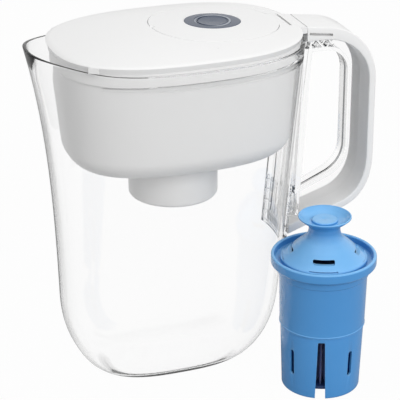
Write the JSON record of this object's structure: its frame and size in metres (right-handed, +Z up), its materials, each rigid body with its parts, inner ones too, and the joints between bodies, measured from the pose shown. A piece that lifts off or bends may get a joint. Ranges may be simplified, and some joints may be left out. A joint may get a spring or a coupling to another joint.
{
  "type": "water filter pitcher",
  "caption": "Clear water filter pitcher with a white bow handle, hanging tank, lid with a flip-up fill door and a round filter indicator, and a blue filter cartridge standing beside it.",
  "frame": {"origin": "on the face of the jug's foot, under the middle of the lid", "axes": "+X towards the handle, -X towards the spout, +Y across the jug away from the cartridge, +Z up"},
  "size_m": [0.2686, 0.1856, 0.2725],
  "materials": {
    "clear_plastic": "clear, glossy",
    "white_plastic": "white, satin moulded",
    "slate_plastic": "slate blue-grey, glossy",
    "slate_light_plastic": "lighter slate, satin",
    "light_guide": "milky translucent",
    "blue_plastic": "sky blue, satin moulded",
    "dark_blue_plastic": "dark blue, matte",
    "filter_media": "pleated non-woven",
    "seal_rubber": "matte rubber",
    "board_green": "solder resist",
    "steel": "plain steel",
    "spring_brass": "spring brass",
    "led": "moulded diode"
  },
  "bodies": {
    "jug": {"jug_body": "clear_plastic", "handle_frame": "clear_plastic", "handle_cover": "white_plastic"},
    "tank": {"tank": "white_plastic"},
    "lid": {"lid": "white_plastic"},
    "flip_door": {"flip_door": "white_plastic", "indicator_housing": "slate_plastic", "light_ring": "light_guide", "circuit_board": "board_green", "dome_switch": "steel", "status_leds": "led", "battery_clip": "spring_brass", "coin_cell": "steel", "back_seal": "seal_rubber", "back_cover": "slate_plastic", "cover_screws": "steel"},
    "reset_button": {"reset_button": "slate_light_plastic"},
    "cartridge": {"cartridge_housing": "blue_plastic", "cartridge_basket": "blue_plastic", "cartridge_cap": "blue_plastic", "pleated_filter": "filter_media", "core_tube": "dark_blue_plastic", "upper_end_cap": "dark_blue_plastic", "lower_end_cap": "dark_blue_plastic"}
  },
  "joints": [
    {"name": "tank_lift", "type": "slide", "parent": "jug", "child": "tank", "axis": [0, 0, 1], "range_m": [0, 0.13]},
    {"name": "lid_lift", "type": "slide", "parent": "tank", "child": "lid", "axis": [0, 0, 1], "range_m": [0, 0.05]},
    {"name": "flip_door_hinge", "type": "hinge", "parent": "lid", "child": "flip_door", "pos_m": [0.084, 0, 0.2645], "axis": [0, 1, 0], "range_deg": [0, 100]},
    {"name": "reset_button_press", "type": "slide", "parent": "flip_door", "child": "reset_button", "axis": [0, 0, -1], "range_m": [0, 0.0008], "stiffness_N_per_m": 400, "springref_m": -0.0005},
    {"name": "cartridge_lift", "type": "slide", "parent": "jug", "child": "cartridge", "axis": [0.3103, -0.3921, 0.866], "range_m": [0, 0.15]}
  ]
}
